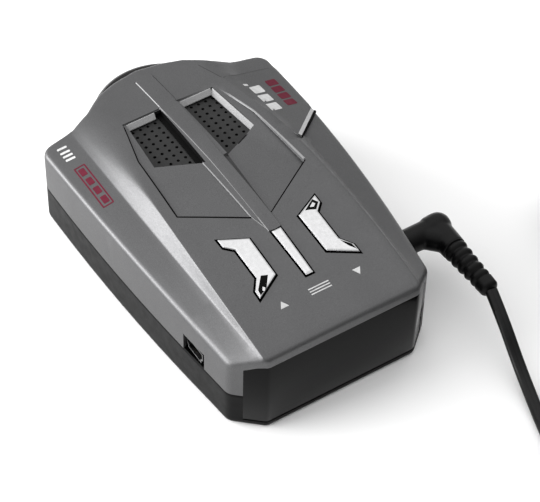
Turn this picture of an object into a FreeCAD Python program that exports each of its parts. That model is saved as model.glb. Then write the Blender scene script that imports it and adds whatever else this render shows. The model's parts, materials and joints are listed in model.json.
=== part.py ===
"""Radar detector: a two-shell dashboard unit with its 12 V power lead.

Millimetres.  +Z is up, the display end faces -Y, the aerial end faces +Y.
The origin is on the table, under the middle of the case.
Each solid that could be lifted off a bench is written to its own STEP file.
"""
import FreeCAD, Part
import math
import os

os.makedirs("parts", exist_ok=True)
Vector = FreeCAD.Vector

# ---------------------------------------------------------------- driving dimensions
CASE_LENGTH = 108.0
CASE_WIDTH = 70.0
CASE_HEIGHT = 32.0
SEAM_Z = 12.0                 # joint between the lower and the upper shell
WALL = 2.0                    # side wall of both shells
ROOF = 2.2                    # thickness of the upper shell's roof
FIT = 0.1                     # gap round pieces that sit still in an opening

FRONT_Y = -CASE_LENGTH / 2    # flat display face
SHELL_BACK_Y = 49.4           # crown of the bowed back edge, the lens bulges beyond it
FRONT_HALF = 22.5             # half width of the flat display face
CORNER_FRONT = (30.1, -47.3)  # where the corner chamfer would meet the side
CORNER_BACK = (35.0, 39.7)
BACK_BOW = [(13.0, 46.4), (7.2, 48.5)]      # corners of the bowed back edge
CORNER_ROUND = 3.6
SIDE_RADIUS = 635.0           # the sides are slightly barrelled in plan

CROWN_Y = -3.0                # highest station of the roof
CROWN_RADIUS = 300.0          # lengthwise crown of the roof
MIDDLE_Y = -7.0               # middle of the three stations that shape the roof
STATION_STEP = 47.0           # distance from it to the other two

HUMP_HALF = (18.5, 22.6, 23.1)       # half width of the raised centre: back, middle, front
HUMP_Z = (28.6, 31.6, 27.4)
WING_HALF = (25.6, 25.6, 23.3)       # where the slope below the hump meets the wing
WING_Z = (25.6, 28.1, 27.2)
EDGE_Z = (24.0, 25.7, 22.6)          # outer top edge of the case

WINDOW_HALF = 27.2            # the window wraps the corners to here
WINDOW_Z = (2.3, 24.5)
WINDOW_THICK = 2.0

LENS_HALF = 17.0
LENS_SIDE_Y = 43.9
LENS_Z = (6.5, 25.6)
LENS_ROUND = 3.5

GRILLE = [(2.8, 31.3), (13.4, 31.3), (15.3, 13.1), (3.2, 7.2)]
GRILLE_PITCH = 2.25
GRILLE_HOLE = 0.9
GRILLE_LAP = 1.2              # the grille plates reach this far under the roof
PANEL = [(2.5, 31.5, 29.6), (14.0, 31.5, 29.7), (17.6, 17.0, 30.55),
         (19.2, -5.3, 30.45), (1.9, -16.0, 31.6)]
PAD = [(17.7, 33.1), (34.6, 33.2), (35.2, 14.9), (22.9, 3.5)]

ARROW = [(6.9, -20.6), (15.2, -16.4), (15.1, -20.2), (12.9, -22.4),
         (12.9, -31.9), (15.3, -35.2), (15.4, -38.8), (7.1, -34.0)]
MENU = [(-1.85, -21.4), (1.85, -21.4), (1.5, -38.0), (-1.5, -38.0)]
BUTTON_GAP = 0.3
BUTTON_PROUD = 0.6
BUTTON_BEVEL = 0.35
BUTTON_TRAVEL = 0.5
BUTTON_Y = -27.5              # the tact switches stand on this line
ARROW_X = 10.0
SWITCH_SIZE = 6.0
SWITCH_TOP = 26.7
PLUNGER_R = 1.7
PLUNGER_DEPTH = 0.9           # how far the plunger reaches into its switch
KEY_BOARD_Z = (22.0, 23.2)
KEY_POST_X = 18.8

BOARD_Z = (12.2, 13.4)        # main circuit board, bottom and top
BOARD_HALF = 27.0
BOARD_Y = (-44.0, 36.0)
BOSSES = [(24.0, -41.5), (-24.0, -41.5), (28.0, 31.0), (-28.0, 31.0)]
BOARD_POSTS = [(20.0, -18.0), (-20.0, -18.0), (20.0, 23.0), (-20.0, 23.0)]

SPEAKER = (0.0, 19.0)
SPEAKER_R = 14.0
SPEAKER_TOP = 25.9

USB_Y = -33.3
USB_SIZE = (9.2, 7.7, 3.9)
USB_MOUTH_X = -31.2
JACK_Y = -31.05
JACK_Z = 14.15
JACK_SIZE = 6.3
JACK_FACE_X = 31.6
JACK_BACK_X = 21.0

PLUG_FACE_X = 32.4
PLUG_R = 3.6
PLUG_REACH = 9.0              # how far the plug's sleeve stands out of its body
ELBOW_X = 44.6
RELIEF_Y = (-39.0, -56.0)

CORD = 3.4                    # width of the twin lead
LEAD_ROUTE = [(44.6, -56.0, 14.15), (44.3, -65.0, 12.8), (42.6, -74.5, 5.4),
              (40.6, -84.5, 1.95), (36.6, -93.0, 1.8), (33.9, -101.5, 1.8),
              (33.2, -108.5, 1.8)]
COIL_CENTRE = (53.5, -108.0)
COIL_INNER = 11.8
COIL_OUTER = 22.2
COIL_HEIGHT = 17.2
TAIL_ROUTE = [(54.5, -128.5, 15.4), (62.4, -128.9, 15.1), (70.4, -128.6, 13.9),
              (78.0, -127.6, 12.3), (84.2, -125.0, 11.1), (88.0, -119.6, 10.6),
              (89.0, -113.0, 10.7)]

CAR_PLUG_AT = (89.0, -113.0, 10.7)
CAR_PLUG_TURN = 90.0          # degrees from +X to the plug's axis
CAR_PLUG_R = 10.5


# ---------------------------------------------------------------- small helpers
def bend(y, back_middle_front):
    """Smooth value at station y through three given ones."""
    back, middle, front = back_middle_front
    s = (y - MIDDLE_Y) / STATION_STEP
    return middle + (back - front) / 2 * s + ((back + front) / 2 - middle) * s * s


def crown_z(y):
    return CASE_HEIGHT - (y - CROWN_Y) ** 2 / (2 * CROWN_RADIUS)


def side_half(y):
    """Half width of the case at station y."""
    return CASE_WIDTH / 2 - (y - 33.0) ** 2 / (2 * SIDE_RADIUS)


def box(x, y, z):
    """Box from three (low, high) pairs."""
    return Part.makeBox(x[1] - x[0], y[1] - y[0], z[1] - z[0], Vector(x[0], y[0], z[0]))


def post(x, y, z, radius):
    """Upright cylinder between two heights."""
    return Part.makeCylinder(radius, z[1] - z[0], Vector(x, y, z[0]))


def rod(x, y, z, radius):
    """Cylinder along X between two values of x."""
    return Part.makeCylinder(radius, x[1] - x[0], Vector(x[0], y, z), Vector(1, 0, 0))


def polygon(points):
    return Part.makePolygon([Vector(p[0], p[1], 0) for p in points + points[:1]])


def prism(wire, low, high):
    face = Part.Face(wire)
    face.translate(Vector(0, 0, low))
    return face.extrude(Vector(0, 0, high - low))


def grown(points, distance):
    """Polygon moved outwards, or inwards when distance is negative."""
    return polygon(points).makeOffset2D(distance, 2)


def mirrored(points):
    return [(-p[0], p[1]) for p in reversed(points)]


def turned(profile, axis_point, axis):
    """Solid of revolution from a closed profile of 3-D points."""
    wire = Part.makePolygon([Vector(*p) for p in profile + profile[:1]])
    return Part.Face(wire).revolve(axis_point, axis, 360)


def tidy(shape):
    """Drop the seams left by cutting and joining."""
    cleaned = shape.removeSplitter()
    return cleaned if cleaned.isValid() else shape


def save(name, shape):
    solids = shape.Solids
    if not solids or not shape.isValid():
        print("PROBLEM", name, len(solids), shape.isValid())
    whole = solids[0] if len(solids) == 1 else Part.Compound(solids)
    whole.exportStep("parts/%s.step" % name)
    bounds = whole.optimalBoundingBox(False)
    print("%-24s solids %2d volume %9.1f z %6.2f %6.2f"
          % (name, len(solids), whole.Volume, bounds.ZMin, bounds.ZMax))


# ---------------------------------------------------------------- outline and roof
def plan_wire():
    """Outline of the two shells seen from above, with its four outer corners still sharp."""
    knee = Vector(*CORNER_FRONT, 0)
    tail = Vector(*CORNER_BACK, 0)
    right = [Part.LineSegment(Vector(FRONT_HALF, FRONT_Y, 0), knee),
             Part.Arc(knee, Vector(side_half(-5.0), -5.0, 0), tail),
             Part.LineSegment(tail, Vector(24.5, 40.4, 0)),
             Part.LineSegment(Vector(24.5, 40.4, 0), Vector(18.8, 42.0, 0)),
             Part.LineSegment(Vector(18.8, 42.0, 0), Vector(*BACK_BOW[0], 0)),
             Part.LineSegment(Vector(*BACK_BOW[0], 0), Vector(*BACK_BOW[1], 0)),
             Part.LineSegment(Vector(*BACK_BOW[1], 0), Vector(0, SHELL_BACK_Y, 0))]
    edges = [piece.toShape() for piece in right]
    left = [edge.mirror(Vector(0, 0, 0), Vector(1, 0, 0)) for edge in edges]
    front = Part.LineSegment(Vector(-FRONT_HALF, FRONT_Y, 0), Vector(FRONT_HALF, FRONT_Y, 0)).toShape()
    ordered = Part.sortEdges(edges + left + [front])[0]
    return Part.Wire(ordered)


def plan_prism(inset, low, high):
    """Block inside the outline, moved inwards by inset, with its side corners rounded."""
    wire = plan_wire()
    if inset:
        wire = wire.makeOffset2D(-inset, 2)
    block = prism(wire, low, high)
    corners = []
    for edge in block.Edges:
        box_x = max(abs(edge.BoundBox.XMin), abs(edge.BoundBox.XMax))
        if edge.BoundBox.ZLength > 0.5 and box_x > FRONT_HALF + 5.0:
            corners.append(edge)
    return block.makeFillet(CORNER_ROUND - inset, corners)


def roof_section(y, drop, inset, bottom):
    """Closed cross-section of everything under the roof at station y."""
    reach = CASE_WIDTH / 2 + 6.0
    hump = bend(y, HUMP_HALF) - inset
    wing = max(bend(y, WING_HALF), bend(y, HUMP_HALF) + 0.3) - inset
    hump_z = bend(y, HUMP_Z) - drop
    wing_z = bend(y, WING_Z) - drop
    edge_z = bend(y, EDGE_Z) - drop
    slope = (edge_z - wing_z) / (side_half(y) - wing - inset)
    reach_z = wing_z + slope * (reach - wing)
    half = [(reach, bottom), (reach, reach_z), (wing, wing_z), (hump, hump_z), (0.0, crown_z(y) - drop)]
    points = half + [(-x, z) for x, z in reversed(half[:-1])]
    return Part.makePolygon([Vector(x, y, z) for x, z in points + points[:1]])


def under_roof(drop=0.0, inset=0.0, bottom=5.0):
    """Solid below a surface parallel to the roof, wider than the case."""
    stations = [-58.0, -46.0, -32.0, -16.0, 0.0, 16.0, 32.0, 50.0]
    sections = [roof_section(y, drop, inset, bottom) for y in stations]
    return Part.makeLoft(sections, True, False)


def roof_layer(wire, top_drop, bottom_drop):
    """Plate that follows the roof, between two depths below it, inside an outline."""
    block = prism(wire, 5.0, 40.0)
    return block.common(under_roof(top_drop)).cut(under_roof(bottom_drop))


def roof_z(x, y):
    """Height of the roof over a point on the hump."""
    hump = bend(y, HUMP_HALF)
    return crown_z(y) + (bend(y, HUMP_Z) - crown_z(y)) * min(abs(x) / hump, 1.0)


# ---------------------------------------------------------------- shells
def panel_tool(side):
    """Shallow sunk panel beside the spine, deepest at its outer front corner."""
    top = 40.0
    floor = [Vector(side * x, y, z) for x, y, z in PANEL]
    lid = [Vector(p.x, p.y, top) for p in floor]
    count = len(floor)
    faces = [Part.Face(Part.makePolygon(lid + lid[:1]))]
    for a, b, c in [(0, 1, 2), (0, 2, 3), (0, 3, 4)]:
        faces.append(Part.Face(Part.makePolygon([floor[a], floor[b], floor[c], floor[a]])))
    for i in range(count):
        j = (i + 1) % count
        ring = [floor[i], floor[j], lid[j], lid[i], floor[i]]
        faces.append(Part.Face(Part.makePolygon(ring)))
    solid = Part.Solid(Part.Shell(faces))
    if solid.Volume < 0:
        solid.reverse()
    return solid


def pad_block():
    """Raised pad that bridges the hump and the wing on the right-hand side."""
    corners = []
    for x, y in PAD:
        on_hump = x < bend(y, HUMP_HALF) + 1.0
        corners.append(Vector(x, y, roof_z(x, y) if on_hump else bend(y, EDGE_Z) + 0.35))
    base = [Vector(p.x, p.y, 20.0) for p in corners]
    faces = [Part.Face(Part.makePolygon(base + base[:1]))]
    for a, b, c in [(0, 1, 2), (0, 2, 3)]:
        faces.append(Part.Face(Part.makePolygon([corners[a], corners[b], corners[c], corners[a]])))
    for i in range(4):
        j = (i + 1) % 4
        ring = [base[i], base[j], corners[j], corners[i], base[i]]
        faces.append(Part.Face(Part.makePolygon(ring)))
    solid = Part.Solid(Part.Shell(faces))
    if solid.Volume < 0:
        solid.reverse()
    return solid


def window_points():
    """Plan of the window: the flat face and part of both corner chamfers."""
    run = (CORNER_FRONT[0] - FRONT_HALF, CORNER_FRONT[1] - FRONT_Y)
    length = math.hypot(*run)
    inward = (-run[1] / length * WINDOW_THICK, run[0] / length * WINDOW_THICK)
    end_y = FRONT_Y + (WINDOW_HALF - FRONT_HALF) / run[0] * run[1]
    inner_end = (WINDOW_HALF + inward[0], end_y + inward[1])
    inner_y = FRONT_Y + WINDOW_THICK
    inner_x = inner_end[0] - (inner_end[1] - inner_y) * run[0] / run[1]
    right = [(FRONT_HALF, FRONT_Y), (WINDOW_HALF, end_y), inner_end, (inner_x, inner_y)]
    return right + mirrored(right)


def window_solid():
    return prism(polygon(window_points()), *WINDOW_Z)


def window_space():
    return prism(grown(window_points(), FIT), WINDOW_Z[0] - FIT, WINDOW_Z[1] + FIT)


def lens_throat(margin):
    return box((-13.3 - margin, 13.3 + margin), (43.0, 50.5), (8.7 - margin, 23.3 + margin))


def jack_space():
    half = JACK_SIZE / 2 + FIT
    return box((19.0, 40.0), (JACK_Y - half, JACK_Y + half), (JACK_Z - half, JACK_Z + half))


def usb_space():
    half = USB_SIZE[1] / 2 + 0.45
    return box((-40.0, -25.0), (USB_Y - half, USB_Y + half), (SEAM_Z, BOARD_Z[1] + USB_SIZE[2] + 0.5))


def speaker_collar():
    """Ring under the roof that holds the speaker."""
    x, y = SPEAKER
    ring = post(x, y, (21.5, 40.0), SPEAKER_R + 1.5).cut(post(x, y, (21.0, 41.0), SPEAKER_R + 0.2))
    for wire in grille_wires(GRILLE_LAP + FIT):
        ring = ring.cut(prism(wire, 20.0, 41.0))
    return ring.common(under_roof(ROOF - 0.2, 0.5))


def grille_wires(margin):
    return [grown(GRILLE, margin), grown(mirrored(GRILLE), margin)]


def button_outlines():
    return {"up_button": mirrored(ARROW), "menu_button": MENU, "down_button": ARROW}


def bottom_shell():
    shell = plan_prism(0.0, 0.0, SEAM_Z - 0.05)
    rim = [edge for edge in shell.Edges if edge.BoundBox.ZMax < 0.01]
    shell = shell.makeChamfer(0.8, rim)
    shell = shell.cut(plan_prism(WALL, WALL, SEAM_Z + 1.0))
    for x, y in BOSSES:
        shell = shell.fuse(post(x, y, (1.0, SEAM_Z - 0.05), 3.2))
    for x, y in BOARD_POSTS:
        shell = shell.fuse(post(x, y, (1.0, BOARD_Z[0] - 0.05), 2.4))
    shell = shell.common(plan_prism(0.0, -1.0, SEAM_Z))
    for x, y in BOSSES:
        shell = shell.cut(post(x, y, (-1.0, 20.0), 1.3))
        shell = shell.cut(post(x, y, (-1.0, 2.4), 2.5))
    for x, y in BOARD_POSTS:
        shell = shell.cut(post(x, y, (5.0, 20.0), 1.0))
    shell = shell.cut(window_space()).cut(lens_throat(FIT)).cut(jack_space())
    save("bottom_shell", tidy(shell))


def top_shell():
    body = under_roof(bottom=SEAM_Z + 0.05).fuse(pad_block())
    shell = body.common(plan_prism(0.0, SEAM_Z + 0.05, 40.0))
    hollow = under_roof(ROOF, 1.2).common(plan_prism(WALL, 5.0, 40.0))
    shell = shell.cut(hollow)
    posts = []
    for x, y in BOSSES:
        posts.append(post(x, y, (SEAM_Z + 0.05, 40.0), 3.2))
    for side in (-1, 1):
        posts.append(post(side * KEY_POST_X, BUTTON_Y, (KEY_BOARD_Z[1] + 0.05, 40.0), 2.0))
    inside = under_roof(0.6, 0.3).common(plan_prism(0.5, 5.0, 40.0))
    for item in posts:
        shell = shell.fuse(item.common(inside))
    shell = shell.fuse(speaker_collar())
    for x, y in BOSSES:
        shell = shell.cut(post(x, y, (5.0, 19.0), 1.2))
    for side in (-1, 1):
        shell = shell.cut(post(side * KEY_POST_X, BUTTON_Y, (20.0, 27.0), 0.95))
        shell = shell.cut(panel_tool(side))
    for wire in grille_wires(0.0):
        shell = shell.cut(prism(wire, 20.0, 40.0))
    for wire in grille_wires(GRILLE_LAP + FIT):
        shell = shell.cut(roof_layer(wire, ROOF, ROOF + 1.5))
    for outline in button_outlines().values():
        shell = shell.cut(prism(polygon(outline), 24.0, 40.0))
    shell = shell.cut(window_space()).cut(lens_throat(FIT)).cut(jack_space()).cut(usb_space())
    save("top_shell", tidy(shell))


def front_window():
    save("display_window", window_solid())


def antenna_lens():
    """Dark bulging cover over the aerial and the rear sensor."""
    arc = Part.Arc(Vector(LENS_HALF, LENS_SIDE_Y, 0), Vector(0, CASE_LENGTH / 2, 0),
                   Vector(-LENS_HALF, LENS_SIDE_Y, 0)).toShape()
    chord = Part.LineSegment(Vector(-LENS_HALF, LENS_SIDE_Y, 0), Vector(LENS_HALF, LENS_SIDE_Y, 0)).toShape()
    bulge = prism(Part.Wire([arc, chord]), *LENS_Z)
    rim = []
    for edge in bulge.Edges:
        flat = edge.BoundBox.ZLength < 0.01
        if flat and edge.BoundBox.YMax > CASE_LENGTH / 2 - 1:
            rim.append(edge)
    bulge = bulge.makeFillet(LENS_ROUND, rim)
    shell_space = plan_prism(0.0, 0.0, 40.0)
    lens = bulge.cut(shell_space).fuse(lens_throat(0.0).common(bulge))
    lens = lens.cut(box((-11.0, 11.0), (40.0, 48.6), (10.4, 21.6)))
    save("antenna_lens", tidy(lens))


# ---------------------------------------------------------------- grilles and buttons
def hole_grid(points):
    """Square grid of perforations inside a grille outline."""
    region = Part.Face(grown(points, -GRILLE_HOLE))
    side = 1 if points[0][0] > 0 else -1
    holes = []
    for row in range(12):
        for column in range(6):
            place = Vector(side * (5.6 + column * GRILLE_PITCH), 29.2 - row * GRILLE_PITCH, 0)
            if region.isInside(place, 0.01, True):
                holes.append(post(place.x, place.y, (20.0, 34.0), GRILLE_HOLE / 2))
    return Part.Compound(holes)


def grilles():
    for name, points in (("left_grille", mirrored(GRILLE)), ("right_grille", GRILLE)):
        plate = roof_layer(grown(points, GRILLE_LAP), ROOF + FIT, ROOF + 1.3)
        save(name, plate.cut(hole_grid(points)))


def button(name, outline, centre_x):
    """Cap with a bevelled crest, hidden flange and stem of one push button."""
    cap = roof_layer(grown(outline, -BUTTON_GAP), -BUTTON_PROUD, ROOF + 1.0)
    crest = []
    for edge in cap.Edges:
        middle = edge.CenterOfMass
        if middle.z > roof_z(middle.x, middle.y) + BUTTON_PROUD / 2 and abs(middle.x) > 0.05:
            crest.append(edge)
    cap = cap.makeChamfer(BUTTON_BEVEL, crest)
    flange = roof_layer(grown(outline, 0.8), ROOF + 0.35, ROOF + 1.15)
    stem = post(centre_x, BUTTON_Y, (SWITCH_TOP + 0.6, 29.2), 1.6)
    save(name, tidy(cap.fuse(flange).fuse(stem)))


def buttons():
    centres = {"up_button": -ARROW_X, "menu_button": 0.0, "down_button": ARROW_X}
    for name, outline in button_outlines().items():
        button(name, outline, centres[name])
        x = centres[name]
        plunger = post(x, BUTTON_Y, (SWITCH_TOP - PLUNGER_DEPTH, SWITCH_TOP + 0.6), PLUNGER_R)
        save(name.replace("button", "plunger"), plunger)


def key_board():
    """Small circuit board with the three tact switches."""
    board = box((-20.8, 20.8), (-33.5, -21.5), KEY_BOARD_Z)
    for side in (-1, 1):
        board = board.cut(post(side * KEY_POST_X, BUTTON_Y, (20.0, 25.0), 1.1))
    save("button_board", board)
    half = SWITCH_SIZE / 2
    bodies = []
    for x in (-ARROW_X, 0.0, ARROW_X):
        body = box((x - half, x + half), (BUTTON_Y - half, BUTTON_Y + half), (KEY_BOARD_Z[1], SWITCH_TOP))
        pocket = (SWITCH_TOP - PLUNGER_DEPTH - BUTTON_TRAVEL - 0.2, SWITCH_TOP + 1.0)
        bodies.append(body.cut(post(x, BUTTON_Y, pocket, PLUNGER_R + 0.3)))
    save("tact_switches", Part.Compound(bodies))
    screws = []
    for side in (-1, 1):
        head = post(side * KEY_POST_X, BUTTON_Y, (20.7, 21.95), 1.8)
        shank = post(side * KEY_POST_X, BUTTON_Y, (21.9, 26.2), 0.85)
        screws.append(head.fuse(shank))
    save("button_board_screws", Part.Compound(screws))


# ---------------------------------------------------------------- electronics
def main_board():
    board = box((-BOARD_HALF, BOARD_HALF), BOARD_Y, BOARD_Z)
    board = board.fuse(box((-11.0, 11.0), (BOARD_Y[1] - 1, 42.8), BOARD_Z))
    for x, y in BOSSES[2:]:
        board = board.cut(post(x, y, (10.0, 15.0), 3.7))
    for side in (-1, 1):
        corner = [(side * 20.3, BOARD_Y[0] - 1), (side * 28.0, BOARD_Y[0] - 1), (side * 28.0, -37.7),
                  (side * 20.3, -37.7)]
        board = board.cut(prism(polygon(corner), 10.0, 15.0))
    for x, y in BOARD_POSTS:
        board = board.cut(post(x, y, (10.0, 15.0), 1.1))
    half = JACK_SIZE / 2 + FIT
    board = board.cut(box((JACK_BACK_X - FIT, 30.0), (JACK_Y - half, JACK_Y + half), (10.0, 15.0)))
    save("main_board", tidy(board))
    screws = []
    for x, y in BOARD_POSTS:
        head = post(x, y, (BOARD_Z[1] + 0.05, BOARD_Z[1] + 1.25), 1.9)
        screws.append(head.fuse(post(x, y, (7.0, BOARD_Z[1] + 0.1), 0.9)))
    save("board_screws", Part.Compound(screws))


def on_board(x, y, height):
    top = BOARD_Z[1] + 0.05
    return box(x, y, (top, top + height))


def board_parts():
    save("controller_chip", on_board((-6.0, 6.0), (-12.0, 0.0), 1.6))
    save("memory_chip", on_board((9.5, 14.5), (-12.0, -6.5), 1.4))
    save("power_inductor", on_board((12.0, 19.0), (-2.0, 5.0), 4.0))
    save("crystal", on_board((-7.5, 3.5), (4.0, 8.0), 3.4))
    cans = [post(x, y, (BOARD_Z[1] + 0.05, BOARD_Z[1] + 7.0), 2.6)
            for x, y in [(-14.0, -6.0), (-14.0, 1.0), (-14.0, 8.0)]]
    save("capacitors", Part.Compound(cans))


def aerial():
    """Microwave horn with its mouth towards the lens, and the light sensor on top of it."""
    x, y, z = (-10.5, 10.5), (34.2, 43.2), (BOARD_Z[1] + 0.05, 21.2)
    block = box((x[0], x[1]), (29.5, y[1]), z)
    throat = Part.makePolygon([Vector(-3.5, 31.5, 16.0), Vector(3.5, 31.5, 16.0),
                               Vector(3.5, 31.5, 18.8), Vector(-3.5, 31.5, 18.8), Vector(-3.5, 31.5, 16.0)])
    mouth = Part.makePolygon([Vector(-9.0, 43.3, 14.6), Vector(9.0, 43.3, 14.6),
                              Vector(9.0, 43.3, 20.0), Vector(-9.0, 43.3, 20.0), Vector(-9.0, 43.3, 14.6)])
    save("horn_antenna", block.cut(Part.makeLoft([throat, mouth], True, True)))
    sensor = box((-3.5, 3.5), (y[0] + 1.0, 41.0), (21.25, 24.6))
    lens = Part.makeSphere(1.5, Vector(0, 41.0, 22.9)).common(box((-3, 3), (40.5, 44.0), (20.0, 25.0)))
    save("laser_sensor", sensor.fuse(lens))


def speaker():
    x, y = SPEAKER
    top = SPEAKER_TOP
    axis_point, axis = Vector(x, y, 0), Vector(0, 0, 1)

    def ring(profile):
        return turned([(x + r, y, z) for r, z in profile], axis_point, axis)

    frame = ring([(12.2, top), (SPEAKER_R, top), (SPEAKER_R, top - 1.2), (12.8, top - 1.2), (8.6, top - 4.4),
                  (4.6, top - 4.4), (4.6, top - 3.8), (8.2, top - 3.8), (12.2, top - 0.8)])
    save("speaker_frame", frame)
    cone = ring([(0.0, top - 1.0), (2.5, top - 1.6), (3.5, top - 2.9), (11.7, top - 0.45), (11.9, top - 0.7),
                 (3.5, top - 3.3), (2.2, top - 1.9), (0.0, top - 1.3)])
    save("speaker_cone", cone)
    save("speaker_magnet", post(x, y, (18.0, top - 4.45), 8.2))


def display():
    save("display_board", box((-21.0, 21.0), (-46.6, -45.4), (4.2, 21.8)))
    save("led_display", box((-17.5, 17.5), (-51.4, -46.65), (7.5, 19.5)))
    save("display_header", box((-8.0, 8.0), (-45.35, -42.0), (BOARD_Z[1] + 0.05, 15.9)))


def usb_socket():
    length, width, height = USB_SIZE
    base = BOARD_Z[1] + 0.05
    mid = BOARD_Z[1] + 0.05 + height / 2

    def profile(inset):
        half, low, high = width / 2 - inset, base + inset, base + height - inset
        slant = low + 1.5
        points = [(-half, high), (half, high), (half, slant), (half - 0.7, low + 0.8), (half - 0.7, low),
                  (-half + 0.7, low), (-half + 0.7, low + 0.8), (-half, slant)]
        return Part.makePolygon([Vector(USB_MOUTH_X, USB_Y + a, b) for a, b in points + points[:1]])

    outer = Part.Face(profile(0.0)).extrude(Vector(length, 0, 0))
    inner = Part.Face(profile(0.35)).extrude(Vector(length - 0.6, 0, 0))
    save("usb_socket_shell", outer.cut(inner))
    x = (USB_MOUTH_X + 1.2, USB_MOUTH_X + length - 0.65)
    tongue = box(x, (USB_Y - 2.5, USB_Y + 2.5), (mid - 0.1, mid + 0.7))
    save("usb_socket_tongue", tongue)
    strips = []
    for k in range(5):
        y = USB_Y + (k - 2) * 0.95
        strips.append(box((x[0] + 0.3, x[1] - 0.3), (y - 0.2, y + 0.2), (mid - 0.35, mid - 0.15)))
    save("usb_contacts", Part.Compound(strips))


def dc_jack():
    half = JACK_SIZE / 2
    body = box((JACK_BACK_X, JACK_FACE_X), (JACK_Y - half, JACK_Y + half), (JACK_Z - half, JACK_Z + half))
    body = body.cut(rod((22.0, 40.0), JACK_Y, JACK_Z, 2.15))
    save("dc_jack_housing", body)
    save("dc_jack_pin", rod((22.05, 30.4), JACK_Y, JACK_Z, 0.5))


def case_screws():
    screws = []
    for x, y in BOSSES:
        screws.append(post(x, y, (0.9, 2.35), 2.2).fuse(post(x, y, (2.3, 18.0), 1.1)))
    save("case_screws", Part.Compound(screws))


# ---------------------------------------------------------------- plug at the unit's end
def dc_plug():
    x0 = PLUG_FACE_X
    barrel = rod((x0, ELBOW_X), JACK_Y, JACK_Z, PLUG_R)
    knee = Part.makeSphere(PLUG_R + 0.1, Vector(ELBOW_X, JACK_Y, JACK_Z))
    arm = Part.makeCone(PLUG_R + 0.1, PLUG_R - 0.2, JACK_Y - RELIEF_Y[0], Vector(ELBOW_X, JACK_Y, JACK_Z),
                        Vector(0, -1, 0))
    body = barrel.fuse(knee).fuse(arm)
    body = body.cut(rod((x0 - 1.0, x0 + 4.0), JACK_Y, JACK_Z, 1.8))
    save("dc_plug_body", tidy(body))
    end = x0 + 3.95

    def tube(start, outer, inner):
        return rod((start, end), JACK_Y, JACK_Z, outer).cut(rod((start - 1, end + 1), JACK_Y, JACK_Z, inner))

    tip = x0 - PLUG_REACH
    save("dc_plug_sleeve", tube(tip, 1.75, 1.35))
    save("dc_plug_insulator", tube(tip - 0.4, 1.3, 0.95))
    save("dc_plug_contact", tube(tip - 0.2, 0.9, 0.68))


def relief(start, direction, length, radii, ribs):
    """Tapered strain relief with rounded ribs."""
    r0, r1 = radii
    core = Part.makeCone(r0 * 0.86, r1 * 0.86, length, start, direction)
    pitch = length / ribs
    for k in range(ribs):
        a = r0 + (r1 - r0) * k / ribs
        b = r0 + (r1 - r0) * (k + 0.6) / ribs
        at = start + direction * (pitch * k)
        core = core.fuse(Part.makeCone(a, b, pitch * 0.62, at, direction))
    return core


def dc_plug_relief():
    start = Vector(ELBOW_X, RELIEF_Y[0], JACK_Z)
    length = RELIEF_Y[0] - RELIEF_Y[1]
    save("dc_plug_relief", relief(start, Vector(0, -1, 0), length, (PLUG_R - 0.2, 2.6), 6))


# ---------------------------------------------------------------- power lead
def rounded_path(route, name):
    """Straight runs joined by tangent arcs; prints the arcs' radii."""
    points = [Vector(*p) for p in route]
    edges = []
    start = points[0]
    radii = []
    for before, here, after in zip(points, points[1:], points[2:]):
        run_in, run_out = here - before, after - here
        half_turn = run_in.getAngle(run_out) / 2
        cut_back = 0.45 * min(run_in.Length, run_out.Length)
        radius = cut_back / math.tan(half_turn)
        radii.append(round(radius, 1))
        u, v = Vector(run_in), Vector(run_out)
        u.normalize()
        v.normalize()
        first, last = here - u * cut_back, here + v * cut_back
        inward = v - u
        inward.normalize()
        sagitta = radius * (1 / math.cos(half_turn) - 1)
        middle = here + inward * sagitta
        edges.append(Part.LineSegment(start, first).toShape())
        edges.append(Part.Arc(first, middle, last).toShape())
        start = last
    edges.append(Part.LineSegment(start, points[-1]).toShape())
    print(name, "radii", radii)
    return Part.Wire(edges)


def cord_tube(name, route):
    path = rounded_path(route, name)
    first = Vector(*route[1]) - Vector(*route[0])
    ring = Part.Wire(Part.makeCircle(CORD / 2, Vector(*route[0]), first))
    tube = path.makePipeShell([ring], True, False)
    expected = math.pi * (CORD / 2) ** 2 * path.Length
    print(name, "length %.1f volume %.1f expected %.1f" % (path.Length, tube.Volume, expected))
    save(name, tube)


def lead():
    cord_tube("lead_cord", LEAD_ROUTE)
    x, y = COIL_CENTRE
    ring = post(x, y, (0.05, COIL_HEIGHT), COIL_OUTER).cut(post(x, y, (-1.0, 20.0), COIL_INNER))
    rims = [edge for edge in ring.Edges if edge.Closed]
    save("lead_coil", ring.makeFillet(CORD / 2 - 0.1, rims))
    cord_tube("lead_tail", TAIL_ROUTE)


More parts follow.
